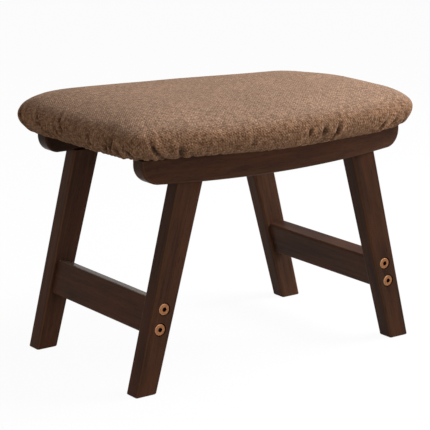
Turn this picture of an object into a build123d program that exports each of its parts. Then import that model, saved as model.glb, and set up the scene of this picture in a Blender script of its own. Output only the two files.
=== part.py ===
"""Upholstered wooden footstool: splayed legs under two bowed aprons, bolted stretchers, a padded seat."""

import os
from math import atan2, cos, degrees, pi, sin, sqrt, tan

from build123d import *

# All sizes are in millimetres.
# Frame: origin on the floor under the middle of the seat, X along the seat, front towards -Y, Z up.

# Legs: flat boards that taper towards the floor and splay along X
foot_spread = 394.0  # across the outer edges of two feet, along X
foot_width = 27.5  # width of a leg at the floor
leg_top_spread = 278.0  # across the outer edges of two legs where they meet the apron
leg_top_width = 34.0  # width of a leg where it meets the apron
leg_thickness = 21.0
leg_rounding = 3.0
foot_chamfer = 1.0

# Aprons: bowed in plan, with a slightly hanging lower edge and rounded lower corners
apron_clearance = 231.0  # floor to the apron's lower edge at mid length
apron_height = 31.5  # at mid length
apron_length = 362.0
apron_thickness = 21.0
apron_proud = 12.0  # how far the bowed face stands out past the legs at mid length
apron_bow_radius = 940.0
apron_lower_radius = 3500.0
apron_corner = 20.0
apron_rounding = 3.0

# Stretchers: boards between front and rear legs, leaning with them
stretcher_height = 40.0
stretcher_thickness = 19.0
stretcher_centre_height = 84.0
stretcher_rounding = 2.5

# Connector bolts through the legs, with threaded inserts in the stretcher ends
bolt_pitch = 23.0
bolt_diameter = 6.0
bolt_length = 40.0  # under the head
bolt_head_diameter = 14.0
bolt_head_height = 2.6
bolt_head_dome = 1.6
bolt_socket = 5.0  # across flats
bolt_socket_depth = 2.4
counterbore_depth = 3.0
insert_diameter = 10.0
insert_length = 15.0

# Dowels between leg tops and aprons
dowel_diameter = 8.0
dowel_length = 36.0
dowel_pitch = 14.0
dowel_chamfer = 0.8

# Seat: plywood board, foam, woven cover turned under the board
board_thickness = 12.0
cushion_length = 420.0
cushion_width = 286.0
seat_overhang = 27.0  # of the cushion past the legs, front and rear
cushion_end_radius = 1100.0  # gentle outward bow of the short sides
cushion_corner = 36.0
cushion_rise = 48.5  # apron top to crown
cushion_waist = 18.0  # height of the widest line above the apron top
cushion_tuck = 15.0  # how far the side draws in below the widest line
crown_inset = 108.0  # from the widest line to the level middle of the crown
crown_fullness = 2.3  # 2 for an elliptical crown, more for a fuller rolled edge
crown_corner_share = 0.65  # corner radius of the level middle, as a share of its half width
tuck_steps = 3  # levels that shape the side below the widest line
crown_steps = 7  # levels that shape the crown above it
cover_thickness = 1.2
cover_opening_length = 330.0
cover_opening_corner = 20.0
dust_cover_overlap = 8.0  # over the turned-in edge of the cover, on each side
dust_cover_thickness = 0.6
dust_cover_gap = 1.5  # to the inner faces of the aprons at their ends

# Staples that hold the turned-in cover and the dust cover to the board
staple_crown = 10.0
staple_wire = 0.8
staple_depth = 5.0  # reach of the legs into the board
staples_long_side = 13
staples_short_side = 7

# Screws up through the aprons into the seat board
screw_diameter = 5.0
screw_head_diameter = 9.0
screw_head_height = 3.0
screw_head_rounding = 1.0
screw_bite = 9.5  # reach into the board
screw_pitch = 150.0
screw_counterbore_depth = 10.0
screw_slot = 1.2
screw_slot_length = 5.4
screw_slot_depth = 1.6

# Fits
bolt_clearance = 0.4  # bolt shank in the leg, on the diameter
head_clearance = 1.2  # bolt head in its counterbore, on the diameter
thread_fit = 0.1  # bolt in its insert, insert in its bore, on the diameter
dowel_fit = 0.1  # dowel in its bores, on the diameter
dowel_end_gap = 1.0  # glue space at each end of a dowel
screw_clearance = 0.2  # screw in the apron, on the diameter
screw_head_clearance = 1.0  # screw head in its counterbore, on the diameter
bolt_tip_gap = 2.0  # past the bolt's tip in the stretcher

# Share of an edge's direction along an axis, above which the edge counts as running along it
mostly = 0.5

# Derived places
half_span = cushion_width / 2 - seat_overhang  # middle to the outer face of a leg
leg_inner_face = half_span - leg_thickness
apron_top = apron_clearance + apron_height
apron_middle_face = half_span + apron_proud
insert_bore = insert_diameter + thread_fit
bolt_hole = bolt_diameter + bolt_clearance
bolt_inner_reach = counterbore_depth + bolt_length - leg_thickness
board_underside = apron_top + cover_thickness


def apron_lower_edge(x):
    """Height of the apron's hanging lower edge at a place along X."""
    return apron_clearance + apron_lower_radius - sqrt(apron_lower_radius**2 - x**2)


def apron_face(x):
    """Distance of the apron's bowed outer face from the XZ plane at a place along X."""
    return apron_middle_face - apron_bow_radius + sqrt(apron_bow_radius**2 - x**2)


# Axis of the right-hand legs, from the middle of the foot to the middle of the top
foot_axis_x = (foot_spread - foot_width) / 2
top_axis_x = (leg_top_spread - leg_top_width) / 2
lean = atan2(foot_axis_x - top_axis_x, apron_lower_edge(top_axis_x))
stretcher_x = foot_axis_x - stretcher_centre_height * tan(lean)
dowel_y = (half_span + apron_face(top_axis_x) - apron_thickness) / 2

# Turned-in edge of the cover, kept between the aprons
dust_cover_half_width = apron_face(apron_length / 2) - apron_thickness - dust_cover_gap
cover_opening_width = 2 * (dust_cover_half_width - dust_cover_overlap)
staple_row_x = (cover_opening_length + dust_cover_overlap) / 2
staple_row_y = (cover_opening_width + dust_cover_overlap) / 2


def along_y(solid, x, y, z):
    """Turn a solid made along +Z to run along +Y from a given place."""
    return Pos(x, y, z) * Rot(-90, 0, 0) * solid


def post(diameter, length):
    """Cylinder standing on the origin."""
    return Cylinder(diameter / 2, length, align=(Align.CENTER, Align.CENTER, Align.MIN))


def joined(name, solids):
    """Group of separate solids under one name."""
    return Compound(label=name, children=solids)


def four_ways(right):
    """A front right solid and its mirror images across the middle planes."""
    left = mirror(right, Plane.YZ)
    return {
        "front_right": right,
        "front_left": left,
        "rear_right": mirror(right, Plane.XZ),
        "rear_left": mirror(left, Plane.XZ),
    }


def bolt_places():
    """Places (x, z) of the two bolts on a right-hand leg's axis."""
    for side in (1, -1):
        reach = side * bolt_pitch / 2
        yield stretcher_x - reach * sin(lean), stretcher_centre_height + reach * cos(lean)


def dowel_places():
    """Places along X of the two dowels in a right-hand leg's top."""
    for side in (1, -1):
        yield top_axis_x + side * dowel_pitch / 2


def dowel_foot(x):
    """Height of a dowel's lower end: half of it sits in the leg."""
    return apron_lower_edge(x) - dowel_length / 2


def front_right_leg():
    """Tapered, leaning board with its foot cut level and its top cut to the apron."""
    outer_top = leg_top_spread / 2
    inner_top = outer_top - leg_top_width
    middle_top = (outer_top + inner_top) / 2
    outer_foot = foot_spread / 2
    inner_foot = outer_foot - foot_width
    outline = [
        Line((inner_foot, 0), (outer_foot, 0)),
        Line((outer_foot, 0), (outer_top, apron_lower_edge(outer_top))),
        ThreePointArc(
            (outer_top, apron_lower_edge(outer_top)),
            (middle_top, apron_lower_edge(middle_top)),
            (inner_top, apron_lower_edge(inner_top)),
        ),
        Line((inner_top, apron_lower_edge(inner_top)), (inner_foot, 0)),
    ]
    leg = extrude(Plane.XZ.offset(leg_inner_face) * make_face(outline), amount=leg_thickness)
    long_edges = [e for e in leg.edges() if abs(e.tangent_at(0.5).Z) > mostly]
    leg = fillet(long_edges, leg_rounding)
    leg = chamfer(leg.faces().sort_by(Axis.Z)[0].edges(), foot_chamfer)
    for x, z in bolt_places():
        leg -= along_y(post(bolt_hole, leg_thickness), x, -half_span, z)
        leg -= along_y(post(bolt_head_diameter + head_clearance, counterbore_depth), x, -half_span, z)
    for x in dowel_places():
        depth = dowel_length / 2 + dowel_end_gap
        bore = post(dowel_diameter + dowel_fit, depth + leg_rounding)
        leg -= Pos(x, -dowel_y, apron_lower_edge(x) - depth) * bore
    return leg


def front_apron():
    """Bowed rail with a hanging lower edge and rounded lower corners."""
    half = apron_length / 2
    end_low = apron_lower_edge(half)
    outline = [
        Line((-half, apron_top), (half, apron_top)),
        Line((half, apron_top), (half, end_low)),
        ThreePointArc((half, end_low), (0, apron_clearance), (-half, end_low)),
        Line((-half, end_low), (-half, apron_top)),
    ]
    side = make_face(outline)
    side = fillet(side.vertices().sort_by(Axis.Y)[:2], apron_corner)
    deep = apron_face(half) - 2 * apron_thickness
    rail = extrude(Plane.XZ.offset(deep) * side, amount=apron_middle_face - deep + apron_thickness)
    ring = Circle(apron_bow_radius) - Circle(apron_bow_radius - apron_thickness)
    bow = extrude(Pos(0, apron_bow_radius - apron_middle_face) * ring, amount=apron_top + apron_height)
    rail = rail & bow
    eased = [
        e
        for e in rail.edges()
        if abs(e.tangent_at(0.5).Y) < mostly and e.center().Z < apron_top - apron_rounding
    ]
    rail = fillet(eased, apron_rounding)
    for x in dowel_places():
        depth = dowel_length / 2 + dowel_end_gap
        bore = post(dowel_diameter + dowel_fit, depth + apron_rounding)
        for side_x in (x, -x):
            rail -= Pos(side_x, -dowel_y, apron_lower_edge(x) - apron_rounding) * bore
    for x in (screw_pitch / 2, -screw_pitch / 2):
        y = apron_thickness / 2 - apron_face(x)
        rail -= Pos(x, y, 0) * post(screw_diameter + screw_clearance, apron_top)
        rail -= Pos(x, y, 0) * post(screw_head_diameter + screw_head_clearance, screw_seat())
    return rail


def screw_seat():
    """Height of the shoulder that the seat screws pull against."""
    return apron_lower_edge(screw_pitch / 2) + screw_counterbore_depth


def right_stretcher():
    """Board that leans with the legs, bored at both ends for the inserts."""
    board = Box(stretcher_thickness, 2 * leg_inner_face, stretcher_height)
    board = fillet(board.edges().filter_by(Axis.Y), stretcher_rounding)
    board = Location((stretcher_x, 0, stretcher_centre_height), (0, -degrees(lean), 0)) * board
    for x, z in bolt_places():
        bore = along_y(post(insert_bore, insert_length), x, -leg_inner_face, z)
        tip = along_y(post(bolt_hole, bolt_inner_reach + bolt_tip_gap), x, -leg_inner_face, z)
        for cutter in (bore, tip):
            board -= cutter
            board -= mirror(cutter, Plane.XZ)
    return board


def bolt(x, z):
    """Connector bolt with a domed flat head and a hexagon socket, for a front right leg."""
    head = post(bolt_head_diameter, bolt_head_height)
    head = fillet(head.edges().sort_by(Axis.Z)[:1], bolt_head_dome)
    shank = Pos(0, 0, bolt_head_height) * post(bolt_diameter, bolt_length)
    socket = extrude(RegularPolygon(bolt_socket / 2, 6, major_radius=False), amount=bolt_socket_depth)
    return along_y(head + shank - socket, x, counterbore_depth - bolt_head_height - half_span, z)


def threaded_insert(x, z):
    """Screw-in sleeve, flush with the stretcher's end."""
    sleeve = post(insert_diameter, insert_length) - post(bolt_diameter + thread_fit, insert_length)
    return along_y(sleeve, x, -leg_inner_face, z)


def dowel(x):
    """Round dowel with eased ends, half in the leg and half in the apron."""
    pin = post(dowel_diameter, dowel_length)
    pin = chamfer(pin.edges().filter_by(GeomType.CIRCLE), dowel_chamfer)
    return Pos(x, -dowel_y, dowel_foot(x)) * pin


def seat_screw(x):
    """Pan head screw, standing head down in the front apron's counterbore."""
    shank_length = apron_top - screw_seat() + cover_thickness + screw_bite
    head = post(screw_head_diameter, screw_head_height)
    head = fillet(head.edges().sort_by(Axis.Z)[:1], screw_head_rounding)
    screw = head + Pos(0, 0, screw_head_height) * post(screw_diameter, shank_length)
    for size in ((screw_slot_length, screw_slot), (screw_slot, screw_slot_length)):
        screw -= Box(*size, 2 * screw_slot_depth)
    return Pos(x, apron_thickness / 2 - apron_face(x), screw_seat() - screw_head_height) * screw


def corner_centre(side_centre, side_reach, end_centre, end_reach):
    """Point in the first quadrant at given distances from two centres on the axes."""
    between = end_centre - side_centre
    along = (side_reach**2 - end_reach**2 + between.length**2) / (2 * between.length)
    across = sqrt(side_reach**2 - along**2)
    towards = between.normalized()
    return side_centre + towards * along + Vector(towards.Y, -towards.X) * across


def seat_outline(inset, shrink, height):
    """Seat outline, drawn in from the widest line: four gentle arcs joined by tangent corner arcs.

    shrink is the share of the way from the widest line to the level middle of the crown.
    """
    half_length = cushion_length / 2 - inset
    half_width = cushion_width / 2 - inset
    side_radius = apron_bow_radius + cushion_width / 2 - apron_middle_face - inset
    end_radius = cushion_end_radius - inset
    middle_corner = crown_corner_share * (cushion_width / 2 - crown_inset)
    corner = cushion_corner + shrink * (middle_corner - cushion_corner)
    side_centre = Vector(0, half_width - side_radius)
    end_centre = Vector(half_length - end_radius, 0)
    centre = corner_centre(side_centre, side_radius - corner, end_centre, end_radius - corner)
    side_point = side_centre + (centre - side_centre).normalized() * side_radius
    end_point = end_centre + (centre - end_centre).normalized() * end_radius
    middle = centre + (side_point + end_point - centre * 2).normalized() * corner

    quarter = [Vector(half_length, 0), end_point, middle, side_point, Vector(0, half_width)]
    upper = quarter[1:] + [Vector(-p.X, p.Y) for p in quarter[3::-1]]
    around = [Vector(p.X, p.Y, height) for p in upper + [Vector(-p.X, -p.Y) for p in upper]]
    ring = around + around[:1]
    return make_face([ThreePointArc(*ring[n : n + 3]) for n in range(0, len(around), 2)])


def cushion_form(skin):
    """Crowned cushion with drawn-in sides, taken in on all sides by the skin's thickness."""
    waist = cushion_waist - skin
    crown = cushion_rise - 2 * skin - waist
    levels = []
    for step in range(-tuck_steps, crown_steps + 1):
        if step < 0:
            angle = step / tuck_steps * pi / 2
            inset = cushion_tuck * (1 - cos(angle))
            shrink = 0
            height = waist * (1 + sin(angle))
        else:
            angle = step / crown_steps * pi / 2
            inset = crown_inset * (1 - cos(angle) ** (2 / crown_fullness))
            shrink = inset / crown_inset
            height = waist + crown * sin(angle) ** (2 / crown_fullness)
        levels.append(seat_outline(inset + skin, shrink, apron_top + skin + height))
    return loft(levels, ruled=True)


def seat_board():
    """Plywood board, cut to the cushion's drawn-in base."""
    outline = seat_outline(cushion_tuck + cover_thickness, 0, board_underside)
    return extrude(outline, amount=board_thickness)


def dust_cover():
    """Thin sheet over the underside, lapping the turned-in cover."""
    length = cover_opening_length + 2 * dust_cover_overlap
    sheet = RectangleRounded(length, 2 * dust_cover_half_width, cover_opening_corner + dust_cover_overlap)
    return extrude(Pos(0, 0, apron_top - dust_cover_thickness) * sheet, amount=dust_cover_thickness)


def staple():
    """Wire staple, crown down, its legs pointing up from the dust cover's underside."""
    rise = dust_cover_thickness + cover_thickness + staple_depth
    low = (Align.CENTER, Align.CENTER, Align.MIN)
    crown = Pos(0, 0, -staple_wire) * Box(staple_crown, staple_wire, staple_wire, align=low)
    for side in (1, -1):
        place = Pos(side * (staple_crown - staple_wire) / 2, 0, -staple_wire)
        crown += place * Box(staple_wire, staple_wire, rise + staple_wire, align=low)
    return Pos(0, 0, apron_top - dust_cover_thickness) * crown


def staple_places():
    """Places of the staples around the turned-in edge."""
    run_x = cover_opening_length - 2 * cover_opening_corner
    run_y = cover_opening_width - 2 * cover_opening_corner
    for number in range(staples_long_side):
        x = run_x * (number / (staples_long_side - 1) - 0.5)
        for y in (staple_row_y, -staple_row_y):
            yield Location((x, y, 0))
    for number in range(staples_short_side):
        y = run_y * (number / (staples_short_side - 1) - 0.5)
        for x in (staple_row_x, -staple_row_x):
            yield Location((x, y, 0), (0, 0, 90))


def seat_parts():
    """Board, foam, cover, dust cover, staples and screws of the seat."""
    screws = []
    for x in (screw_pitch / 2, -screw_pitch / 2):
        screw = seat_screw(x)
        screws += [screw, mirror(screw, Plane.XZ)]
    staples = [place * staple() for place in staple_places()]
    board = seat_board()
    inside = cushion_form(cover_thickness)
    foam = inside - board
    opening = RectangleRounded(cover_opening_length, cover_opening_width, cover_opening_corner)
    cover = cushion_form(0) - inside
    cover -= extrude(Pos(0, 0, apron_top) * opening, amount=cover_thickness)
    sheet = dust_cover() - staples
    return {
        "seat_board": board - staples - screws,
        "foam_pad": foam,
        "seat_cover": cover - staples - screws,
        "dust_cover": sheet,
        "cover_staples": joined("cover_staples", staples),
        "seat_screws": joined("seat_screws", screws),
    }


def frame_parts():
    """Legs, aprons, stretchers and what joins them."""
    parts = {}
    for corner, leg in four_ways(front_right_leg()).items():
        parts["leg_" + corner] = leg
    parts["front_apron"] = front_apron()
    parts["rear_apron"] = mirror(parts["front_apron"], Plane.XZ)
    parts["right_stretcher"] = right_stretcher()
    parts["left_stretcher"] = mirror(parts["right_stretcher"], Plane.YZ)
    bolts, inserts, dowels = [], [], []
    for x, z in bolt_places():
        bolts += four_ways(bolt(x, z)).values()
        inserts += four_ways(threaded_insert(x, z)).values()
    for x in dowel_places():
        dowels += four_ways(dowel(x)).values()
    parts["stretcher_bolts"] = joined("stretcher_bolts", bolts)
    parts["threaded_inserts"] = joined("threaded_inserts", inserts)
    parts["leg_dowels"] = joined("leg_dowels", dowels)
    return parts


os.makedirs("parts", exist_ok=True)
for name, piece in {**frame_parts(), **seat_parts()}.items():
    piece.label = name
    export_step(piece, f"parts/{name}.step")
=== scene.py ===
"""Looks of an upholstered wooden footstool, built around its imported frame."""

import logging
import math
from dataclasses import asdict, dataclass, field, replace
from enum import Enum

import bpy
import numpy as np
from mathutils import Matrix, Vector


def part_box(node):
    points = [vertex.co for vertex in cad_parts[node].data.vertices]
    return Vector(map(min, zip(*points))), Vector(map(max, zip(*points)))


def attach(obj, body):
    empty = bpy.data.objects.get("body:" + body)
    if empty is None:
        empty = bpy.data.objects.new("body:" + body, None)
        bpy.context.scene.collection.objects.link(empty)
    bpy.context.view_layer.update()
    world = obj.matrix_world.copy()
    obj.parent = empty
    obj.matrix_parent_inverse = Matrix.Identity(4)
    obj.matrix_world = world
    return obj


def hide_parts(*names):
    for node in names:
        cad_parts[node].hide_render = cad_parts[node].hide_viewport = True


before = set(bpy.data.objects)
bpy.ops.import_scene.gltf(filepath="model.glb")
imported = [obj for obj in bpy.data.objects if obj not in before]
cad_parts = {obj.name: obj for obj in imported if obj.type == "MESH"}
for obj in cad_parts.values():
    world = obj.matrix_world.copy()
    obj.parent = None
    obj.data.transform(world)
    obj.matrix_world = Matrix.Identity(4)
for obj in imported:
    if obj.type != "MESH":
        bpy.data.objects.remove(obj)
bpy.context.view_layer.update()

log = logging.getLogger("footstool")

MM = 0.001
# Least distance that anything is divided by.
TINY = 1e-9
BODY = "root"
Colour = tuple[float, float, float, float]
Triple = tuple[float, float, float]
Span = tuple[float, float]

# Sockets that share their names with others: the ends of a MapRange node and the colours of a Mix node.
FROM_LOW, FROM_HIGH, TO_LOW, TO_HIGH = 1, 2, 3, 4
FIRST, SECOND, MIXED = 6, 7, 2
SMOOTH = {"interpolation_type": "SMOOTHSTEP"}
COLOURS = {"data_type": "RGBA"}
# A noise at the size of its coordinates, and how much of each finer layer it takes in.
NOISE = {"Scale": 1.0, "Roughness": 0.6}


def linear(shade: str) -> Colour:
    """Turn an sRGB hex value into linear colour.

    Args:
        shade: Six hex digits after a hash sign.

    Returns:
        Red, green, blue and alpha.
    """
    parts = [int(shade[at : at + 2], 16) / 255 for at in (1, 3, 5)]
    red, green, blue = [c / 12.92 if c <= 0.04045 else ((c + 0.055) / 1.055) ** 2.4 for c in parts]
    return (red, green, blue, 1.0)


def add_node(
    tree: bpy.types.NodeTree, kind: str, settings: dict | None = None, links: dict | None = None
) -> bpy.types.Node:
    """Add one shader node, set its values and link its inputs.

    Args:
        tree: Node tree that gets the node.
        kind: Type of the node, without the prefix that all shader nodes share.
        settings: Values by the name of an attribute, or by the name or number of an input.
        links: Output sockets by the name or number of the input that they feed.

    Returns:
        The new node.
    """
    node = tree.nodes.new("ShaderNode" + kind)
    for name, value in (settings or {}).items():
        if isinstance(name, str) and hasattr(node, name):
            setattr(node, name, value)
        else:
            node.inputs[name].default_value = value
    for name, socket in (links or {}).items():
        tree.links.new(socket, node.inputs[name])
    return node


def empty_material(name: str) -> tuple[bpy.types.Material, bpy.types.NodeTree]:
    """Start a material with no nodes.

    Args:
        name: Name of the real material and its finish.

    Returns:
        The material and its node tree.
    """
    material = bpy.data.materials.new(name)
    material.use_nodes = True
    material.node_tree.nodes.clear()
    return material, material.node_tree


def dress(piece: bpy.types.Object, material: bpy.types.Material) -> None:
    """Give a piece one material in its only slot."""
    piece.data.materials.clear()
    piece.data.materials.append(material)


def new_piece(name: str, spots: np.ndarray, faces: list[tuple[int, ...]]) -> bpy.types.Object:
    """Make a smooth-shaded mesh object in the scene.

    Args:
        name: Name of the object and its mesh.
        spots: Points, one row each.
        faces: Numbers of the points around each face.

    Returns:
        The new object.
    """
    mesh = bpy.data.meshes.new(name)
    mesh.from_pydata(spots.tolist(), [], faces)
    mesh.polygons.foreach_set("use_smooth", np.ones(len(faces), bool))
    piece = bpy.data.objects.new(name, mesh)
    bpy.context.scene.collection.objects.link(piece)
    return piece


def read_points(mesh: bpy.types.Mesh) -> np.ndarray:
    """Read a mesh's points.

    Args:
        mesh: The mesh.

    Returns:
        One row for each point.
    """
    spots = np.empty(len(mesh.vertices) * 3, np.float32)
    mesh.vertices.foreach_get("co", spots)
    return spots.reshape(-1, 3)


def ease(value: np.ndarray, low: float, high: float) -> np.ndarray:
    """Rise smoothly from 0 to 1.

    Args:
        value: Values to grade.
        low: Value that gives 0.
        high: Value that gives 1.

    Returns:
        Shares from 0 to 1.
    """
    share = np.clip((value - low) / (high - low), 0.0, 1.0)
    return share * share * (3 - 2 * share)


class Run(Enum):
    """Way that a board's grain runs."""

    ALONG_SEAT = "along the seat's length"
    ACROSS_SEAT = "from front to rear"
    UP_LEG = "up the leg"


@dataclass(frozen=True)
class Board:
    """One wooden board: how its grain runs, how red it came out, how much painted light and shade lighten
    or darken it, and how much painted sky reflection its upward faces get.
    """

    node: str
    run: Run
    warmth: float
    tone: float
    sky_reflection_share: float = 0.0


@dataclass(frozen=True)
class Figure:
    """One layer of the wood's figure.

    The size is along the grain and across it, and the spread is where the layer's noise starts to show and
    where it shows in full.
    """

    size: Triple
    detail: float
    wander: float
    spread: Span


@dataclass(frozen=True)
class StainedHardwood:
    """Plain-sawn hardwood under a dark walnut stain and satin lacquer.

    The stain sinks unevenly, so the boards show long reddish and near-black streaks and fine dark pores.
    A paler painted highlight runs where the edges are eased. The lacquer gives a soft broad gloss.
    """

    dark: str = "#32211a"
    middle: str = "#462f22"
    red: str = "#573525"
    # Pale painted highlight along the eased edges.
    edge_highlight_shade: str = "#6e4c34"
    # Pale painted reflection of the sky on upward faces.
    sky_reflection_shade: str = "#8d7a6a"
    pore_shade: str = "#120a07"
    streak: Figure = Figure((150 * MM, 6 * MM, 6 * MM), 4.0, 0.6, (0.3, 0.72))
    fine: Figure = Figure((45 * MM, 1.6 * MM, 1.6 * MM), 3.0, 0.3, (0.34, 0.7))
    # Real pores are about 0.2 mm wide; they are drawn wider so that they show.
    pore: Figure = Figure((12 * MM, 0.8 * MM, 0.8 * MM), 1.0, 0.0, (0.6, 0.74))
    patch: Figure = Figure((130 * MM, 45 * MM, 45 * MM), 2.0, 0.0, (0.3, 0.7))
    drift: Triple = (1.0, 0.37, 0.61)
    fine_share: float = 0.32
    pore_share: float = 0.45
    # On a flat face the parts of the normal add up to about one, and on an eased edge to more.
    edge: Span = (1.24, 1.41)
    edge_share: float = 0.42
    # Upward faces, between these shares of the normal, take the painted sky reflection.
    upward: Span = (0.8, 0.95)
    roughness: Span = (0.26, 0.4)
    relief: float = 0.12 * MM
    relief_strength: float = 0.25
    ior: float = 1.47
    gloss: float = 0.03

    def material(self, name: str, axes: Matrix, shift: float, board: Board) -> bpy.types.Material:
        """Make the finish for one board.

        Args:
            name: Name of the material.
            axes: Rotation that turns the board's grain to X and its broad face to Z.
            shift: Place in the pattern, so that no two boards match.
            board: The board, for its share of red stain, its painted light and shade, and its painted sky
                reflection.

        Returns:
            The material.
        """
        material, tree = empty_material(name)
        turn = axes.to_euler()
        place = tuple(shift * part for part in self.drift)
        coords = add_node(tree, "TexCoord").outputs
        moved = {"vector_type": "POINT", "Rotation": turn, "Location": place}
        local = add_node(tree, "Mapping", moved, {"Vector": coords["Object"]}).outputs[0]
        turned = {"vector_type": "VECTOR", "Rotation": turn}
        facing = add_node(tree, "Mapping", turned, {"Vector": coords["Normal"]}).outputs[0]
        parts = add_node(tree, "VectorMath", {"operation": "ABSOLUTE"}, {0: facing}).outputs[0]
        total = add_node(tree, "VectorMath", {"operation": "DOT_PRODUCT", 1: (1, 1, 1)}, {0: parts})
        upward = add_node(tree, "SeparateXYZ", None, {0: coords["Normal"]})
        sources = {"edge": total.outputs["Value"], "upward": upward.outputs["Z"]}
        spans = {"edge": self.edge, "upward": self.upward}
        figures = {"streak": self.streak, "fine": self.fine, "pore": self.pore, "patch": self.patch}
        for part, figure in figures.items():
            fit = tuple(1 / size for size in figure.size)
            scaled = add_node(tree, "VectorMath", {"operation": "MULTIPLY", 1: fit}, {0: local})
            layer = {**NOISE, "Detail": figure.detail, "Distortion": figure.wander}
            sources[part] = add_node(tree, "TexNoise", layer, {"Vector": scaled.outputs[0]}).outputs[0]
            spans[part] = figure.spread
        shares = {}
        for part, (low, high) in spans.items():
            rise = {**SMOOTH, FROM_LOW: low, FROM_HIGH: high}
            shares[part] = add_node(tree, "MapRange", rise, {0: sources[part]}).outputs[0]
        # A painted highlight along the eased edges, broken up by the fine figure.
        painted_highlight = add_node(tree, "Math", {"operation": "MULTIPLY"}, {0: shares["edge"], 1: sources["fine"]})
        ends = {**COLOURS, FIRST: linear(self.dark), SECOND: linear(self.middle)}
        colour = add_node(tree, "Mix", ends, {0: shares["streak"]}).outputs[MIXED]
        # These lie over the stain in turn. Upward faces get a pale painted reflection of the sky, on some
        # boards more than on others.
        for source, share, shade in (
            (shares["patch"], board.warmth, self.red),
            (shares["fine"], self.fine_share, self.dark),
            (shares["pore"], self.pore_share, self.pore_shade),
            (painted_highlight.outputs[0], self.edge_share, self.edge_highlight_shade),
            (shares["upward"], board.sky_reflection_share, self.sky_reflection_shade),
        ):
            laid = add_node(tree, "Math", {"operation": "MULTIPLY", 1: share}, {0: source}).outputs[0]
            over = {**COLOURS, SECOND: linear(shade)}
            colour = add_node(tree, "Mix", over, {0: laid, FIRST: colour}).outputs[MIXED]
        # Each board's colour is scaled by its painted light and shade.
        toned = add_node(tree, "VectorMath", {"operation": "SCALE", "Scale": board.tone}, {0: colour})
        low, high = self.roughness
        rough = add_node(tree, "MapRange", {TO_LOW: low, TO_HIGH: high}, {0: sources["fine"]})
        relief = add_node(tree, "Math", {"operation": "SUBTRACT"}, {0: sources["fine"], 1: shares["pore"]})
        pressed = {"Strength": self.relief_strength, "Distance": self.relief}
        bump = add_node(tree, "Bump", pressed, {"Height": relief.outputs[0]})
        lacquer = add_node(
            tree,
            "BsdfPrincipled",
            {"IOR": self.ior, "Specular IOR Level": self.gloss},
            {"Base Color": toned.outputs[0], "Roughness": rough.outputs[0], "Normal": bump.outputs[0]},
        )
        add_node(tree, "OutputMaterial", None, {"Surface": lacquer.outputs[0]})
        return material


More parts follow.
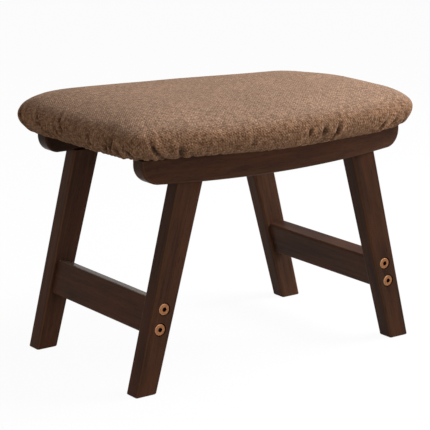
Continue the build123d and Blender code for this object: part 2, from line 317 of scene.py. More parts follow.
@dataclass(frozen=True)
class HeatheredLinen:
    """Plain-woven linen in several browns: light flecks, dark slubs and a dry, slightly hairy sheen."""

    dark: str = "#5f412c"
    middle: str = "#8a664c"
    light: str = "#bf9d86"
    # Where the cloth faces up, painted light makes it paler by these shares of red, green and blue, and a
    # little pale painted sheen is laid over it.
    top_light_tint: Colour = (1.15, 1.26, 1.40, 1.0)
    top_sheen_shade: str = "#c0a694"
    top_sheen_share: float = 0.1
    upward: Span = (0.35, 1.0)
    # Real threads are about 0.6 mm apart; they are drawn wider so that they show.
    thread: float = 1.8 * MM
    slub: float = 9 * MM
    fleck: float = 2.2 * MM
    cloud: float = 42 * MM
    heather: Span = (0.78, 1.22)
    fleck_spread: Span = (0.52, 0.76)
    fleck_share: float = 0.5
    cloud_spread: Span = (0.3, 0.7)
    cloud_tone: Span = (0.86, 1.12)
    relief: float = 0.35 * MM
    relief_strength: float = 0.55
    roughness: float = 0.92
    gloss: float = 0.12
    sheen: float = 0.12
    sheen_roughness: float = 0.45
    sheen_tint: str = "#cfa585"

    def material(self) -> bpy.types.Material:
        """Make the finish.

        Returns:
            The material, which follows the flat_cloth and fold_tone attributes of the mesh; fold_tone
            carries the folds' painted shade and highlight.
        """
        material, tree = empty_material("heathered_linen_weave")
        flat = add_node(tree, "Attribute", {"attribute_name": "flat_cloth"}).outputs["Vector"]
        noises = {}
        for part, across, along, detail in (
            ("warp", self.thread, self.slub, 1.0),
            ("weft", self.slub, self.thread, 1.0),
            ("fleck", self.fleck, self.fleck, 1.0),
            ("cloud", self.cloud, self.cloud, 3.0),
        ):
            fit = (1 / across, 1 / along, 1.0)
            scaled = add_node(tree, "VectorMath", {"operation": "MULTIPLY", 1: fit}, {0: flat})
            noise = add_node(tree, "TexNoise", {**NOISE, "Detail": detail}, {"Vector": scaled.outputs[0]})
            noises[part] = noise.outputs[0]
        threads = add_node(tree, "Math", {"operation": "ADD"}, {0: noises["warp"], 1: noises["weft"]})
        normal = add_node(tree, "NewGeometry").outputs["Normal"]
        upward = add_node(tree, "SeparateXYZ", None, {0: normal}).outputs["Z"]
        shares = {}
        for part, source, (low, high), most in (
            ("heather", threads.outputs[0], self.heather, 1.0),
            ("fleck", noises["fleck"], self.fleck_spread, self.fleck_share),
            ("top_lighting", upward, self.upward, 1.0),
            ("top_sheen_shade", upward, self.upward, self.top_sheen_share),
        ):
            rise = {**SMOOTH, FROM_LOW: low, FROM_HIGH: high, TO_HIGH: most}
            shares[part] = add_node(tree, "MapRange", rise, {0: source}).outputs[0]
        ends = {**COLOURS, FIRST: linear(self.dark), SECOND: linear(self.middle)}
        ground = add_node(tree, "Mix", ends, {0: shares["heather"]}).outputs[MIXED]
        over = {**COLOURS, SECOND: linear(self.light)}
        flecked = add_node(tree, "Mix", over, {0: shares["fleck"], FIRST: ground}).outputs[MIXED]
        cloud_ends = dict(zip((FROM_LOW, FROM_HIGH, TO_LOW, TO_HIGH), self.cloud_spread + self.cloud_tone))
        cloud = add_node(tree, "MapRange", cloud_ends, {0: noises["cloud"]}).outputs[0]
        clouded = add_node(tree, "VectorMath", {"operation": "SCALE"}, {0: flecked, "Scale": cloud})
        # Faces that look up get painted light and a pale painted sheen.
        top_lighting = {**COLOURS, "blend_type": "MULTIPLY", SECOND: self.top_light_tint}
        top_lit = add_node(tree, "Mix", top_lighting, {0: shares["top_lighting"], FIRST: clouded.outputs[0]}).outputs[MIXED]
        over = {**COLOURS, SECOND: linear(self.top_sheen_shade)}
        top_sheened = add_node(tree, "Mix", over, {0: shares["top_sheen_shade"], FIRST: top_lit}).outputs[MIXED]
        # Painted shade darkens the folds' grooves and a painted highlight lightens their crests.
        tone = add_node(tree, "Attribute", {"attribute_name": "fold_tone"}).outputs["Fac"]
        colour = add_node(tree, "VectorMath", {"operation": "SCALE"}, {0: top_sheened, "Scale": tone})
        per_thread = {"operation": "SCALE", "Scale": math.pi / self.thread}
        turns = add_node(tree, "VectorMath", per_thread, {0: flat})
        waves = add_node(tree, "VectorMath", {"operation": "SINE"}, {0: turns.outputs[0]})
        parts = add_node(tree, "SeparateXYZ", None, {0: waves.outputs[0]}).outputs
        weave = add_node(tree, "Math", {"operation": "MULTIPLY"}, {0: parts["X"], 1: parts["Y"]})
        relief = add_node(tree, "Math", {"operation": "ADD"}, {0: weave.outputs[0], 1: threads.outputs[0]})
        pressed = {"Strength": self.relief_strength, "Distance": self.relief}
        bump = add_node(tree, "Bump", pressed, {"Height": relief.outputs[0]})
        cloth = add_node(
            tree,
            "BsdfPrincipled",
            {
                "Roughness": self.roughness,
                "Specular IOR Level": self.gloss,
                "Sheen Weight": self.sheen,
                "Sheen Roughness": self.sheen_roughness,
                "Sheen Tint": linear(self.sheen_tint),
            },
            {"Base Color": colour.outputs[0], "Normal": bump.outputs[0]},
        )
        add_node(tree, "OutputMaterial", None, {"Surface": cloth.outputs[0]})
        return material


@dataclass(frozen=True)
class MottledFinish:
    """A material that varies softly between two shades, with a fine grit in its gloss and surface."""

    name: str
    shade: str
    second: str
    grit: float
    stretch: Triple = (1.0, 1.0, 1.0)
    metallic: float = 0.0
    ior: float = 1.5
    roughness: Span = (0.5, 0.7)
    relief: float = 0.05 * MM
    relief_strength: float = 0.5
    detail: float = 3.0
    spread: Span = (0.32, 0.68)
    # Distances from the middle of the stool, front or rear, where the painted shadow in a recess ends and
    # where it is black.
    recess: Span | None = None
    recess_painted_shadow: str = "#140c08"
    # How squarely a face looks to front or rear where a painted highlight starts on it, and where it is
    # full.
    painted_highlight: Span | None = None
    highlight_shade: str = "#e0b78f"

    def material(self) -> bpy.types.Material:
        """Make the finish.

        Returns:
            The material.
        """
        material, tree = empty_material(self.name)
        coords = add_node(tree, "TexCoord").outputs
        fit = tuple(1 / (self.grit * part) for part in self.stretch)
        scaled = add_node(tree, "VectorMath", {"operation": "MULTIPLY", 1: fit}, {0: coords["Object"]})
        layer = {**NOISE, "Detail": self.detail}
        grit = add_node(tree, "TexNoise", layer, {"Vector": scaled.outputs[0]}).outputs[0]
        low, high = self.spread
        spread = add_node(tree, "MapRange", {FROM_LOW: low, FROM_HIGH: high}, {0: grit}).outputs[0]
        ends = {**COLOURS, FIRST: linear(self.shade), SECOND: linear(self.second)}
        tint = add_node(tree, "Mix", ends, {0: spread}).outputs[MIXED]
        # Faces that don't look squarely to front or rear get a painted highlight, and recesses get a
        # painted shadow.
        for span, way, shade in (
            (self.painted_highlight, "Normal", self.highlight_shade),
            (self.recess, "Object", self.recess_painted_shadow),
        ):
            if span:
                depth = add_node(tree, "SeparateXYZ", None, {0: coords[way]}).outputs["Y"]
                out = add_node(tree, "Math", {"operation": "ABSOLUTE"}, {0: depth}).outputs[0]
                rise = {**SMOOTH, FROM_LOW: span[0], FROM_HIGH: span[1]}
                share = add_node(tree, "MapRange", rise, {0: out}).outputs[0]
                over = {**COLOURS, SECOND: linear(shade)}
                tint = add_node(tree, "Mix", over, {0: share, FIRST: tint}).outputs[MIXED]
        low, high = self.roughness
        rough = add_node(tree, "MapRange", {TO_LOW: low, TO_HIGH: high}, {0: spread}).outputs[0]
        pressed = {"Strength": self.relief_strength, "Distance": self.relief}
        bump = add_node(tree, "Bump", pressed, {"Height": grit}).outputs[0]
        surface = add_node(
            tree,
            "BsdfPrincipled",
            {"Metallic": self.metallic, "IOR": self.ior},
            {"Base Color": tint, "Roughness": rough, "Normal": bump},
        )
        add_node(tree, "OutputMaterial", None, {"Surface": surface.outputs[0]})
        return material


# Antique copper plate on steel: warm orange-brown metal, dulled in small patches, with painted shadow in
# its recesses and a painted highlight on its rims.
COPPER_PLATE = MottledFinish(
    "antique_copper_plate",
    "#a8754f",
    "#7c4f35",
    1.2 * MM,
    metallic=1.0,
    roughness=(0.22, 0.38),
    relief=0.01 * MM,
    recess=(115.3 * MM, 113.6 * MM),
    painted_highlight=(0.98, 0.6),
)
# Zinc plate on steel: pale blue-grey metal with a fine crystalline mottle.
ZINC_PLATE = MottledFinish(
    "zinc_plated_steel",
    "#b9bcbe",
    "#8f9496",
    0.9 * MM,
    metallic=1.0,
    roughness=(0.3, 0.45),
    relief=0.01 * MM,
)
# Bare turned beech: pale pinkish brown with short flecks along the dowel.
BARE_BEECH = MottledFinish("bare_beech", "#c9a173", "#a67c50", 1.5 * MM, (1, 1, 6), roughness=(0.55, 0.7))
# Sanded birch plywood: pale face veneer with long soft figure.
BARE_PLYWOOD = MottledFinish(
    "bare_plywood", "#c8a878", "#a9854f", 5 * MM, (12, 1, 1), roughness=(0.6, 0.75)
)
# Spun-bonded dust sheet: near-black felted fibres, quite matt.
FELTED_SHEET = MottledFinish(
    "felted_dust_sheet", "#17171a", "#2b2b2e", 1.6 * MM, roughness=(0.85, 0.95), relief=0.2 * MM
)


@dataclass
class WoodFrame:
    """Legs, aprons and stretchers: solid boards that keep their shape from the frame."""

    lean: float = math.radians(14.74)
    finish: StainedHardwood = field(default_factory=StainedHardwood)
    # A board's fourth number scales its colour as painted light and shade; its fifth is its painted sky
    # reflection.
    boards: tuple[Board, ...] = (
        Board("front_apron", Run.ALONG_SEAT, 0.5, 1.08),
        Board("rear_apron", Run.ALONG_SEAT, 0.4, 0.7),
        Board("leg_front_left", Run.UP_LEG, 0.7, 1.08),
        Board("leg_front_right", Run.UP_LEG, 0.85, 1.0),
        Board("leg_rear_left", Run.UP_LEG, 0.35, 1.6),
        Board("leg_rear_right", Run.UP_LEG, 0.55, 1.45),
        Board("left_stretcher", Run.ACROSS_SEAT, 0.5, 1.45, 0.35),
        Board("right_stretcher", Run.ACROSS_SEAT, 0.5, 1.45),
    )
    shift_step: float = 0.83

    def axes(self, board: Board) -> Matrix:
        """Rotation that turns a board's grain to X and its broad face to Z.

        Args:
            board: The board.

        Returns:
            A matrix whose rows are the board's own axes.
        """
        lean = -self.lean if "left" in board.node else self.lean
        along_leg = Vector((-math.sin(lean), 0, math.cos(lean)))
        across_leg = Vector((math.cos(lean), 0, math.sin(lean)))
        front = Vector((0, -1, 0))
        grain, face = {
            Run.ALONG_SEAT: (Vector((1, 0, 0)), front),
            Run.ACROSS_SEAT: (Vector((0, 1, 0)), across_leg),
            Run.UP_LEG: (along_leg, front),
        }[board.run]
        return Matrix((grain, face.cross(grain), face))

    def dress(self) -> None:
        """Give every board its own cut of the stained wood."""
        for number, board in enumerate(self.boards, 1):
            name = "walnut_stained_" + board.node
            material = self.finish.material(name, self.axes(board), number * self.shift_step, board)
            dress(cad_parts[board.node], material)
            log.info("board %s, grain %s", board.node, board.run.value)


@dataclass
class Fasteners:
    """Bolts, inserts, staples, screws, dowels and the board that they hold, as the frame has them."""

    finishes: dict[str, MottledFinish] = field(
        default_factory=lambda: {
            "stretcher_bolts": COPPER_PLATE,
            "threaded_inserts": ZINC_PLATE,
            "cover_staples": ZINC_PLATE,
            "seat_screws": ZINC_PLATE,
            "leg_dowels": BARE_BEECH,
            "seat_board": BARE_PLYWOOD,
        }
    )

    def dress(self) -> None:
        """Give each group its finish."""
        made = {finish: finish.material() for finish in dict.fromkeys(self.finishes.values())}
        for node, finish in self.finishes.items():
            dress(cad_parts[node], made[finish])
            log.info("%s in %s", node, finish.name)


@dataclass(frozen=True)
class Fold:
    """One pulled fold in the cover: a groove with a puffed shoulder on each side.

    Sizes are in millimetres. The groove crosses the lower edge nearest to (x, y), is deepest at the given
    climb above that edge, and fades over its reach. Its lean is how far it drifts for each unit of climb.
    """

    x: float
    y: float
    depth: float
    width: float
    deepest: float
    reach: float
    lean: float = 0.0


@dataclass(frozen=True)
class FoldForm:
    """Form and painted shade and highlight that all folds share, in millimetres."""

    # A shoulder's height is a share of the fold's depth; its place and width are in widths of the groove.
    shoulder: float = 0.4
    shoulder_place: float = 2.4
    shoulder_width: float = 1.4
    # The most that the lower edge is pressed in or puffed out, and how much more the side is above a climb.
    edge_press: float = 1.6
    edge_puff: float = 0.5
    side_press: float = 4.2
    side_puff: float = 1.6
    side_climb: float = 6.0
    # What is left of a fold on the last line of the underside.
    under_share: float = 0.5
    # Painted shade in the grooves and painted highlight on the crests.
    groove_painted_shade: float = 0.86
    groove_shade_depth: float = 3.4
    groove_shade_power: float = 1.2
    crest_painted_highlight: float = 0.24
    crest_highlight_height: float = 2.0


@dataclass(frozen=True)
class SmallFolds:
    """Small gathers between the staples, in millimetres: thick at the ends, sparse along the sides."""

    seed: int = 11
    # Least and most of a fold's depth, width, climb to its deepest place, reach and lean.
    least: tuple[float, ...] = (0.9, 1.7, 1, 6, -0.45)
    most: tuple[float, ...] = (2.4, 2.9, 13, 13, 0.45)
    pitch: Span = (6, 9.5)
    ends_from: float = 165
    side_depth_share: float = 0.45
    side_pitch_share: float = 2.0


@dataclass(frozen=True)
class Stuffing:
    """How the hand-stuffed seat departs from an even cushion."""

    left_lift: float = 7.4 * MM
    right_lift: float = 0.3 * MM
    left_push: float = 2.6 * MM
    right_push: float = 2.0 * MM
    rear_left_push: float = 2.9 * MM
    left_rounding: float = 4.2 * MM
    rear_right_sink: float = 6.6 * MM
    corner_droop: float = 4.8 * MM
    droop: float = 4.9 * MM
    # The hanging part of the front edge stands this far off the apron's face.
    droop_stand_off: float = 2.5 * MM
    flange_stand_off: float = 1.5 * MM
    droop_fade_share: float = 0.55
    # Shares of the half length or half width between which each of these sets in.
    left: Span = (0.1, 1.0)
    right: Span = (0.4, 1.0)
    rear: Span = (0.1, 1.0)
    front: Span = (0.75, 0.9)
    left_end: Span = (0.8, 0.95)
    # Places along X or Y between which each of these sets in.
    rear_corner: Span = (30 * MM, 95 * MM)
    sink_along: Span = (-90 * MM, 150 * MM)
    sink_back: Span = (-10 * MM, 90 * MM)
    droop_along: Span = (-170 * MM, 20 * MM)
    droop_fade: Span = (130 * MM, 205 * MM)


@dataclass(frozen=True)
class CoverCloth:
    """How the cover behaves while it swells, by the names of the cloth settings."""

    quality: int = 4
    mass: float = 0.3
    tension_stiffness: float = 12.0
    compression_stiffness: float = 12.0
    shear_stiffness: float = 4.0
    bending_stiffness: float = 0.4
    use_pressure: bool = True
    uniform_pressure_force: float = 3.0
    # Less than zero, so the cover grows by this share.
    shrink_min: float = -0.01


@dataclass(frozen=True)
class Level:
    """One closed line around the cushion.

    The run is the length along the cloth from the widest line, less than zero above it. The scale draws a
    line on the level middle of the crown in towards its centre.
    """

    inset: float
    crown_share: float
    height: float
    run: float
    scale: float = 1.0


@dataclass
class Seat:
    """Padded seat: woven cover pulled over foam and gathered under the board."""

    # The even cushion, with the same sizes as its solids.
    side_radius: float = 955 * MM
    end_radius: float = 1100 * MM
    corner: float = 36 * MM
    middle_corner: float = 22.75 * MM
    waist: float = 18 * MM
    tuck: float = 15 * MM
    crown_inset: float = 108 * MM
    fullness: float = 2.3
    # Its mesh: columns round the cushion, and rows from the underside to the middle of the crown.
    spacing: float = 1.7 * MM
    least_columns: int = 4
    flange_insets: tuple[float, ...] = (60 * MM, 44 * MM, 32 * MM, 24 * MM, 19 * MM, 16 * MM)
    tuck_rows: int = 12
    crown_rows: int = 30
    middle_scales: tuple[float, ...] = (0.8, 0.6, 0.4, 0.2, 0.05)
    # Rows over which the hold on the tucked edge fades, and free rows above the widest line.
    tuck_hold_rows: int = 4
    crown_free_rows: int = 6
    start_inset: float = 1.5 * MM
    swell_steps: int = 16
    most_swell: float = 2.4 * MM
    fill: float = 0.85
    stuffing: Stuffing = field(default_factory=Stuffing)
    cloth: CoverCloth = field(default_factory=CoverCloth)
    fold_form: FoldForm = field(default_factory=FoldForm)
    gathers: SmallFolds = field(default_factory=SmallFolds)
    folds: tuple[Fold, ...] = (
        Fold(-205, 80, 5.6, 2.1, 31, 10, -0.5),
        Fold(-205, 28, 6.8, 2.0, 29, 11, -0.9),
        Fold(-205, -8, 5.4, 2.0, 36, 8, -0.5),
        Fold(-205, 4, 5.4, 2.2, 24, 7, -0.6),
        Fold(-205, -64, 6.4, 2.2, 25, 8, -0.5),
        Fold(-205, -70, 5.8, 2.4, 24, 10, 0.4),
        Fold(-205, -81, 5.4, 2.2, 29, 10, 0.3),
        Fold(-204, -108, 4.2, 2.6, 20, 8, -0.4),
        Fold(-198, -122, 4.0, 2.4, 19, 8, -0.4),
        Fold(-168, -138, 3.2, 2.4, 24, 12, -0.35),
        Fold(-150, -138, 3.0, 2.6, 16, 9, 0.15),
        Fold(-60, -143, 1.0, 3.4, 20, 10, 0.2),
        Fold(24, -143, 3.4, 2.1, 21, 5, 0.0),
        Fold(43, -142, 3.4, 2.8, 20, 6, 0.1),
        Fold(60, -142, 5.2, 2.4, 18, 6, 0.3),
        Fold(58, -142, 3.6, 2.1, 8, 4, 0.4),
        Fold(134, -138, 4.4, 2.6, 12, 8, 0.5),
        Fold(148, -134, 3.4, 2.4, 14, 9, 0.6),
    )

    def __post_init__(self) -> None:
        """Take the seat's overall sizes from the frame and count the mesh's columns and rows."""
        low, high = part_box("seat_cover")
        self.length: float = high.x - low.x
        self.width: float = high.y - low.y
        self.base: float = low.z
        self.rise: float = high.z - low.z
        self.counts: tuple[int, ...] = self.column_counts()
        self.wide, self.facing = self.outline(0.0, 0.0)
        self.columns: int = len(self.wide)
        self.first_row: int = len(self.flange_insets)
        self.widest_row: int = self.first_row + self.tuck_rows
        self.levels: list[Level] = self.level_list()
        self.rows: int = len(self.levels)

    def quarter(
        self, inset: float, shrink: float, counts: tuple[int, ...]
    ) -> tuple[np.ndarray, np.ndarray]:
        """Points on one quarter of the seat's outline: end arc, corner arc and side arc.

        Args:
            inset: How far the outline is drawn in from the widest line.
            shrink: Share of the way to the level middle of the crown.
            counts: How many steps each arc has.

        Returns:
            Points from the middle of the right end to the middle of the rear side, and the ways they face.
        """
        half_length = self.length / 2 - inset
        half_width = self.width / 2 - inset
        side_radius = self.side_radius - inset
        end_radius = self.end_radius - inset
        corner = self.corner + shrink * (self.middle_corner - self.corner)
        side_centre = np.array([0.0, half_width - side_radius])
        end_centre = np.array([half_length - end_radius, 0.0])
        between = end_centre - side_centre
        gap = np.linalg.norm(between)
        towards = between / gap
        side_reach = side_radius - corner
        along = (side_reach**2 - (end_radius - corner) ** 2 + gap**2) / (2 * gap)
        across = math.sqrt(side_reach**2 - along**2)
        centre = side_centre + towards * along + np.array([towards[1], -towards[0]]) * across
        end_turn = math.atan2(*(centre - end_centre)[::-1])
        side_turn = math.atan2(*(centre - side_centre)[::-1])
        arcs = (
            (end_centre, end_radius, 0.0, end_turn),
            (centre, corner, end_turn, side_turn),
            (side_centre, side_radius, side_turn, math.pi / 2),
        )
        points, facing = [], []
        for (middle, radius, start, stop), count in zip(arcs, counts):
            turns = np.linspace(start, stop, count + 1)[:-1]
            ways = np.stack([np.cos(turns), np.sin(turns)], 1)
            points.append(middle + radius * ways)
            facing.append(ways)
        points.append(np.array([[0.0, half_width]]))
        facing.append(np.array([[0.0, 1.0]]))
        return np.concatenate(points), np.concatenate(facing)

    def outline(self, inset: float, shrink: float) -> tuple[np.ndarray, np.ndarray]:
        """The whole outline, anticlockwise from the middle of the right end.

        Args:
            inset: How far the outline is drawn in from the widest line.
            shrink: Share of the way to the level middle of the crown.

        Returns:
            Points and the ways they face, one row for each column of the mesh.
        """
        loops = []
        for part in self.quarter(inset, shrink, self.counts):
            across = part[:0:-1] * (-1, 1)
            half = np.concatenate([part[:-1], across])
            loops.append(np.concatenate([half, -half]))
        return loops[0], loops[1]

    def ring(self, level: Level) -> np.ndarray:
        """Points of one level in plan, before it is stuffed."""
        return self.outline(level.inset, level.crown_share)[0] * level.scale

    def column_counts(self) -> tuple[int, ...]:
        """How many columns each arc of a quarter gets.

        Returns:
            Counts for the end, corner and side arc, for even spacing on the widest line.
        """
        trial = 200
        points, _ = self.quarter(0.0, 0.0, (trial, trial, trial))
        steps = np.linalg.norm(np.diff(points, axis=0), axis=1)
        lengths = [float(steps[at * trial : (at + 1) * trial].sum()) for at in range(3)]
        return tuple(max(self.least_columns, round(length / self.spacing)) for length in lengths)

    def level_list(self) -> list[Level]:
        """Levels of the cushion from the flat underside to the crown, before the cloth swells.

        Returns:
            The levels in order.
        """
        crown = self.rise - self.waist - self.start_inset
        shapes = [(inset, 0.0, 0.0) for inset in self.flange_insets]
        for step in range(self.tuck_rows):
            angle = (step / self.tuck_rows - 1) * math.pi / 2
            shapes.append((self.tuck * (1 - math.cos(angle)), 0.0, self.waist * (1 + math.sin(angle))))
        power = 2 / self.fullness
        for step in range(self.crown_rows + 1):
            angle = step / self.crown_rows * math.pi / 2
            share = 1 - abs(math.cos(angle)) ** power
            shapes.append((self.crown_inset * share, share, self.waist + crown * math.sin(angle) ** power))
        lengths = [0.0]
        for (inset_a, _, low), (inset_b, _, high) in zip(shapes, shapes[1:]):
            lengths.append(lengths[-1] + math.hypot(inset_b - inset_a, high - low))
        widest = lengths[self.widest_row]
        levels = [
            Level(inset + self.start_inset * (at > self.first_row), share, height, widest - run)
            for at, ((inset, share, height), run) in enumerate(zip(shapes, lengths))
        ]
        return levels + [replace(levels[-1], scale=scale) for scale in self.middle_scales]

    def stuffed(self, level: Level, row: int) -> np.ndarray:
        """Points of one level, stuffed by hand.

        The left end is fuller and higher, and rounder underneath. The front edge hangs over the apron, and
        the crown has sunk a little at the rear right.

        Args:
            level: The level.
            row: Its number from the underside.

        Returns:
            One point for each column.
        """
        by_hand = self.stuffing
        ring = self.ring(level)
        x, y = ring[:, 0], ring[:, 1]
        wide_x, wide_y = self.wide[:, 0], self.wide[:, 1]
        half_length, half_width = self.length / 2, self.width / 2
        left = ease(-x / half_length, *by_hand.left)
        right = ease(x / half_length, *by_hand.right)
        rear_left = left * ease(y / half_width, *by_hand.rear)
        rear_right = ease(x, *by_hand.sink_along) * ease(y, *by_hand.sink_back)
        rear_corner = ease(wide_y, *by_hand.rear_corner)
        left_end = ease(-wide_x / half_length, *by_hand.left_end)
        hang = ease(-wide_y / half_width, *by_hand.front) * ease(wide_x, *by_hand.droop_along)
        hang *= 1 - by_hand.droop_fade_share * ease(wide_x, *by_hand.droop_fade)
        up = level.height / self.rise
        body = ease(up, 0.0, self.waist / self.rise)
        low = max(0.0, 1 - level.height / self.waist)
        points = np.column_stack([ring, np.full(len(x), self.base + level.height)])
        points[:, 0] -= body * (by_hand.left_push * left + by_hand.rear_left_push * rear_left)
        points[:, 0] += body * by_hand.right_push * right
        points[:, 1] += body * by_hand.rear_left_push * rear_left
        lift = by_hand.left_lift * left + by_hand.right_lift * right - by_hand.rear_right_sink * rear_right
        points[:, 2] += lift * up
        rounding = by_hand.left_rounding * left_end * (1 - rear_corner)
        if row < self.first_row:
            # The underside gives way to the rounded end, and its rim steps over the apron's edge.
            out = -rounding * (self.flange_insets[0] - level.inset) / (self.flange_insets[0] - self.tuck)
            if row == self.first_row - 1:
                out = out + by_hand.flange_stand_off * hang
        else:
            out = (by_hand.droop_stand_off * hang - rounding) * low**2
            sag = by_hand.corner_droop * left_end * rear_corner * (1 - low)
            points[:, 2] -= (by_hand.droop * hang + sag) * low
        points[:, :2] += self.facing * out[:, None]
        return points

    def cushion(self) -> bpy.types.Object:
        """Build the cushion's mesh, a little small, with its cloth laid out flat in an attribute.

        Returns:
            The new object, still without folds.
        """
        columns = self.columns
        # Laid flat, the crown lies where it is and the sides are turned outwards all round it.
        spare = [level.run + level.inset for level in self.levels]
        points, cloth = [], []
        for row, level in enumerate(self.levels):
            points.append(self.stuffed(level, row))
            if level.run < 0:
                flat = self.ring(level) + self.facing * (spare[row] - spare[-1])
            else:
                flat = self.wide + self.facing * (level.run - spare[-1])
            cloth.append(np.column_stack([flat, np.zeros(columns)]))
        spots = np.concatenate(points)
        grid = np.arange(len(spots)).reshape(self.rows, columns)
        after = np.roll(grid, -1, axis=1)
        quads = np.stack([grid[:-1], after[:-1], after[1:], grid[1:]], 2).reshape(-1, 4)
        faces = [tuple(quad) for quad in quads.tolist()]
        # The underside and the crown are closed by strips from each column to the one across from it. The
        # strip at each end is wider, because its rim is almost straight.
        half = columns // 2
        strips = [(at, at + 1, columns - at - 1, columns - at) for at in range(2, half - 2)]
        strips += [(0, 1, 2, columns - 2, columns - 1), tuple(range(half - 2, half + 3))]
        last = (self.rows - 1) * columns
        for strip in strips:
            faces.append(strip[::-1])
            faces.append(tuple(last + at for at in strip))
        piece = new_piece("seat_cushion", spots, faces)
        laid = np.concatenate(cloth).astype(np.float32).ravel()
        piece.data.attributes.new("flat_cloth", "FLOAT_VECTOR", "POINT").data.foreach_set("vector", laid)
        self.hold_rims(piece.data)
        log.info("cushion of %d points in %d columns", len(spots), columns)
        return piece

    def hold_rims(self, mesh: bpy.types.Mesh) -> None:
        """Keep the rims that the strips start from in place when the mesh is smoothed.

        Args:
            mesh: The cushion's mesh.
        """
        ends = np.empty(len(mesh.edges) * 2, np.int32)
        mesh.edges.foreach_get("vertices", ends)
        rows = ends.reshape(-1, 2) // self.columns
        on_rim = (rows == 0).all(axis=1) | (rows == self.rows - 1).all(axis=1)
        creases = mesh.attributes.new("crease_edge", "FLOAT", "EDGE")
        creases.data.foreach_set("value", on_rim.astype(np.float32))

    def holds(self) -> np.ndarray:
        """How firmly each level is held while the cloth swells.

        Returns:
            Shares from 0 to 1, one for each level: full at the underside and in the middle of the crown,
            none on the rolled edge.
        """
        row = np.arange(self.rows)
        under = 1 - ease(row, self.first_row, self.first_row + self.tuck_hold_rows)
        over = ease(row, self.widest_row + self.crown_free_rows, self.widest_row + self.crown_rows - 1)
        return np.maximum(under, over)

    def swell(self, piece: bpy.types.Object) -> None:
        """Blow the cushion up as cloth, then keep the result in its mesh.

        Args:
            piece: The cushion.
        """
        mesh = piece.data
        before = read_points(mesh)
        held = piece.vertex_groups.new(name="held")
        for row, share in enumerate(self.holds()):
            held.add(list(range(row * self.columns, (row + 1) * self.columns)), float(share), "REPLACE")
        modifier = piece.modifiers.new("cloth", "CLOTH")
        settings = modifier.settings
        for name, value in asdict(self.cloth).items():
            setattr(settings, name, value)
        settings.vertex_group_mass = held.name
        settings.effector_weights.gravity = 0
        scene = bpy.context.scene
        for number in range(1, self.swell_steps + 1):
            scene.frame_set(number)
        shown = piece.evaluated_get(bpy.context.evaluated_depsgraph_get()).to_mesh()
        moved = read_points(shown) - before
        piece.modifiers.remove(modifier)
        piece.vertex_groups.clear()
        scene.frame_set(1)
        far = np.linalg.norm(moved, axis=1, keepdims=True)
        log.info("cloth moved by %.1f mm at most", float(far.max()) / MM)
        # Past the most that the foam can swell, the cover comes to rest softly.
        moved *= self.most_swell * np.tanh(far / self.most_swell) / np.maximum(far, TINY)
        mesh.vertices.foreach_set("co", (before + moved).ravel())
        mesh.update()

    def gather(self, piece: bpy.types.Object) -> None:
        """Press the pulled folds into the cover's sides, and note their painted shade in the grooves and
        painted highlight on the crests.

        Args:
            piece: The cushion.
        """
        form = self.fold_form
        mesh = piece.data
        size = (self.rows, self.columns)
        grid = read_points(mesh).reshape(*size, 3)
        ways = np.empty(len(mesh.vertices) * 3, np.float32)
        mesh.vertex_normals.foreach_get("vector", ways)
        steps = np.linalg.norm(self.wide - np.roll(self.wide, 1, axis=0), axis=1) / MM
        place = np.cumsum(steps) - steps[0]
        around = steps.sum()
        climb = np.zeros(size)
        for row in range(self.first_row + 1, self.rows):
            climb[row] = climb[row - 1] + np.linalg.norm(grid[row] - grid[row - 1], axis=1) / MM
        press, crease, crest = np.zeros(size), np.zeros(size), np.zeros(size)
        for fold in self.folds + self.small_folds():
            column = np.argmin(np.hypot(self.wide[:, 0] - fold.x * MM, self.wide[:, 1] - fold.y * MM))
            off = (place - place[column] - fold.lean * climb + around / 2) % around - around / 2
            groove = np.exp(-((off / fold.width) ** 2))
            past = np.abs(off) - form.shoulder_place * fold.width
            shoulder = form.shoulder * np.exp(-((past / (form.shoulder_width * fold.width)) ** 2))
            along = np.exp(-(((climb - fold.deepest) / fold.reach) ** 2))
            press += fold.depth * along * (shoulder - groove)
            crease += fold.depth * along * groove**form.groove_shade_power
            crest += fold.depth * along * shoulder
        press[: self.first_row - 1] = 0
        press[self.first_row - 1] *= form.under_share
        side = np.clip(climb / form.side_climb, 0, 1)
        most_in = form.edge_press + form.side_press * side
        press = np.clip(press, -most_in, form.edge_puff + form.side_puff * side)
        grid += ways.reshape(*size, 3) * press[:, :, None] * MM
        mesh.vertices.foreach_set("co", grid.ravel())
        # Painted shade in the grooves and painted highlight on the shoulders, kept as fold_tone.
        groove_painted_shade = form.groove_painted_shade * np.clip(crease / form.groove_shade_depth, 0, 1)
        tone = 1 - groove_painted_shade + form.crest_painted_highlight * np.clip(crest / form.crest_highlight_height, 0, 1)
        tones = mesh.attributes.new("fold_tone", "FLOAT", "POINT")
        tones.data.foreach_set("value", tone.astype(np.float32).ravel())
        mesh.update()
        log.info("cover gathered in %d placed folds", len(self.folds))

    def small_folds(self) -> tuple[Fold, ...]:
        """Small gathers between the staples, thick at the ends and corners and sparse along the sides.

        Returns:
            Folds of varied size, the same ones each time.
        """
        gathers = self.gathers
        draw = np.random.default_rng(gathers.seed)
        made = []
        along = 0.0
        while along < self.columns:
            x, y = (float(part) / MM for part in self.wide[int(along)])
            at_end = abs(x) > gathers.ends_from
            sizes = draw.uniform(gathers.least, gathers.most)
            depth, width, deepest, reach, lean = (float(part) for part in sizes)
            depth *= 1.0 if at_end else gathers.side_depth_share
            made.append(Fold(x, y, depth, width, deepest, reach, lean))
            pitch = float(draw.uniform(*gathers.pitch)) * MM / self.spacing
            along += pitch * (1.0 if at_end else gathers.side_pitch_share)
        return tuple(made)

    def build(self) -> None:
        """Build and dress the cushion."""
        cushion = self.cushion()
        self.swell(cushion)
        self.gather(cushion)
        smooth = cushion.modifiers.new("smooth cloth", "SUBSURF")
        smooth.levels = smooth.render_levels = 1
        dress(cushion, HeatheredLinen().material())
        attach(cushion, BODY)
        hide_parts("seat_cover", "foam_pad")
        log.info("seat built")


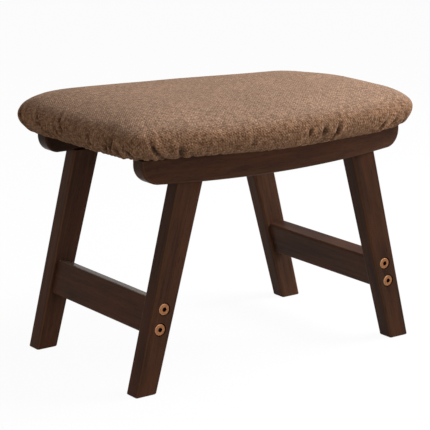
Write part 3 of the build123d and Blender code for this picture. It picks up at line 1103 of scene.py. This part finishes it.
@dataclass
class DustSheet:
    """Thin sheet under the seat, drawn tight between its staples and sagging a little."""

    flat: Span = (346 * MM, 176 * MM)
    corner: float = 28 * MM
    thickness: float = 0.3 * MM
    columns: int = 72
    lines: int = 36
    lift: float = 0.2 * MM
    sag: float = 1.6 * MM
    pucker: float = 0.35 * MM
    # Waves of the puckers along the long and the short edges, and how fast they die out away from the edge.
    long_waves: float = 40.0
    long_fade: int = 6
    short_waves: float = 22.0
    short_fade: int = 10
    rim_fade: int = 20

    def mesh_piece(self) -> bpy.types.Object:
        """Build the sheet's mesh.

        Returns:
            The new object.
        """
        low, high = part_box("dust_cover")
        length, width = high.x - low.x, high.y - low.y
        u, v = np.meshgrid(np.linspace(-1, 1, self.columns + 1), np.linspace(-1, 1, self.lines + 1))
        x, y = u * length / 2, v * width / 2
        over_x = np.maximum(np.abs(x) - (length / 2 - self.corner), 0)
        over_y = np.maximum(np.abs(y) - (width / 2 - self.corner), 0)
        reach = np.maximum(np.hypot(over_x, over_y), TINY)
        pull = np.where((over_x > 0) & (over_y > 0), np.maximum(over_x, over_y) / reach, 1.0)
        x = np.sign(x) * (np.abs(x) - over_x * (1 - pull))
        y = np.sign(y) * (np.abs(y) - over_y * (1 - pull))
        inner = (1 - u**2) * (1 - v**2)
        long_edges = np.cos(u * self.long_waves) * np.abs(v) ** self.long_fade
        short_edges = np.cos(v * self.short_waves) * np.abs(u) ** self.short_fade
        free = 1 - np.maximum(np.abs(u), np.abs(v)) ** self.rim_fade
        z = low.z + self.lift - self.sag * inner + self.pucker * (long_edges + short_edges) * free
        spots = np.stack([x.ravel(), y.ravel(), z.ravel()], 1)
        grid = np.arange(u.size).reshape(u.shape)
        quads = np.stack([grid[:-1, :-1], grid[1:, :-1], grid[1:, 1:], grid[:-1, 1:]], 2).reshape(-1, 4)
        piece = new_piece("dust_sheet", spots, [tuple(quad) for quad in quads.tolist()])
        piece.modifiers.new("cloth thickness", "SOLIDIFY").thickness = self.thickness
        return piece

    def build(self) -> None:
        """Build and dress the sheet."""
        sheet = self.mesh_piece()
        dress(sheet, FELTED_SHEET.material())
        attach(sheet, BODY)
        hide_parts("dust_cover")
        log.info("dust sheet built")


@dataclass(frozen=True)
class Softbox:
    """One square lamp, aimed at the middle of the stool."""

    name: str
    place: Triple
    size: float
    power: float
    tint: str = "#ffffff"


@dataclass
class Studio:
    """Pale floor, soft light and the camera."""

    camera_place: Triple = (-1.26686, -1.75056, 0.69938)
    camera_right: Triple = (0.81115, -0.58484, -0.00288)
    camera_up: Triple = (0.14523, 0.19666, 0.96965)
    camera_back: Triple = (-0.56652, -0.78695, 0.24446)
    lens: float = 158.095
    sensor: float = 36.0
    floor_half: float = 6.0
    # Bounced light sees a greyer floor than the eye does, so that it does not wash out the underside.
    floor_shade: str = "#b4b4b2"
    floor_seen_shade: str = "#fafafa"
    white: Colour = (1.0, 1.0, 1.0, 1.0)
    white_share: float = 0.95
    sky: float = 0.36
    aim: Triple = (0.0, 0.0, 0.2)
    lamps: tuple[Softbox, ...] = (
        Softbox("key", (0.95, -0.35, 1.1), 0.7, 24.6, "#f6fbff"),
        Softbox("fill", (0.5, -2.0, 0.9), 1.4, 10.6),
        Softbox("left fill", (-1.7, -0.6, 0.35), 1.0, 2.8, "#fff1dc"),
    )

    def seen_share(self, tree: bpy.types.NodeTree) -> bpy.types.NodeSocket:
        """Tell rays that reach the eye, also by way of gloss or glass, from rays of bounced light.

        Args:
            tree: Node tree that gets the nodes.

        Returns:
            A socket that is 1 for rays that reach the eye and 0 for others.
        """
        path = add_node(tree, "LightPath")
        seen = path.outputs["Is Camera Ray"]
        for ray in ("Is Glossy Ray", "Is Transmission Ray"):
            both = add_node(
                tree, "Math", {"operation": "ADD", "use_clamp": True}, {0: seen, 1: path.outputs[ray]}
            )
            seen = both.outputs[0]
        return seen

    def floor(self) -> None:
        """Lay a pale floor that looks white to the eye, keeps a faint shadow and is open from below."""
        h = self.floor_half
        corners = np.array([(-h, -h, 0), (h, -h, 0), (h, h, 0), (-h, h, 0)])
        floor = new_piece("studio_floor", corners, [(0, 1, 2, 3)])
        material, tree = empty_material("matt_pale_floor")
        white = add_node(tree, "Emission", {"Color": self.white, "Strength": 1.0})
        seen = self.seen_share(tree)
        shade = add_node(
            tree,
            "Mix",
            {**COLOURS, FIRST: linear(self.floor_shade), SECOND: linear(self.floor_seen_shade)},
            {0: seen},
        )
        paint = add_node(tree, "BsdfDiffuse", None, {"Color": shade.outputs[MIXED]})
        share = add_node(tree, "Math", {"operation": "MULTIPLY", 1: self.white_share}, {0: seen})
        top = add_node(
            tree, "MixShader", None, {0: share.outputs[0], 1: paint.outputs[0], 2: white.outputs[0]}
        )
        side = add_node(tree, "NewGeometry").outputs["Backfacing"]
        clear = add_node(tree, "BsdfTransparent")
        both = add_node(tree, "MixShader", None, {0: side, 1: top.outputs[0], 2: clear.outputs[0]})
        add_node(tree, "OutputMaterial", None, {"Surface": both.outputs[0]})
        dress(floor, material)

    def world(self) -> None:
        """Surround the stool with even light that looks white to the eye."""
        world = bpy.data.worlds.new("studio_light")
        bpy.context.scene.world = world
        world.use_nodes = True
        tree = world.node_tree
        tree.nodes.clear()
        level = add_node(tree, "MapRange", {TO_LOW: self.sky, TO_HIGH: 1.0}, {0: self.seen_share(tree)})
        light = add_node(tree, "Background", {"Color": self.white}, {"Strength": level.outputs[0]})
        add_node(tree, "OutputWorld", None, {"Surface": light.outputs[0]})

    def light(self) -> None:
        """Hang the softboxes."""
        for lamp in self.lamps:
            data = bpy.data.lights.new(lamp.name, "AREA")
            data.size = lamp.size
            data.energy = lamp.power
            data.color = linear(lamp.tint)[:3]
            box = bpy.data.objects.new(lamp.name, data)
            bpy.context.scene.collection.objects.link(box)
            box.location = lamp.place
            box.rotation_euler = (Vector(self.aim) - Vector(lamp.place)).to_track_quat("-Z", "Y").to_euler()

    def camera(self) -> None:
        """Set the camera at the photograph's viewing angle."""
        data = bpy.data.cameras.new("camera")
        data.lens = self.lens
        data.sensor_width = self.sensor
        camera = bpy.data.objects.new("camera", data)
        bpy.context.scene.collection.objects.link(camera)
        turn = Matrix((self.camera_right, self.camera_up, self.camera_back)).transposed()
        camera.matrix_world = Matrix.Translation(self.camera_place) @ turn.to_4x4()
        bpy.context.scene.camera = camera

    def build(self) -> None:
        """Set up the whole studio."""
        bpy.context.scene.view_settings.view_transform = "Standard"
        self.camera()
        self.floor()
        self.world()
        self.light()
        log.info("studio ready")


def main() -> None:
    """Build and dress the stool, piece by piece."""
    logging.basicConfig(level=logging.INFO, format="%(name)s: %(message)s")
    Studio().build()
    WoodFrame().dress()
    Fasteners().dress()
    Seat().build()
    DustSheet().build()


if __name__ == "__main__":
    main()
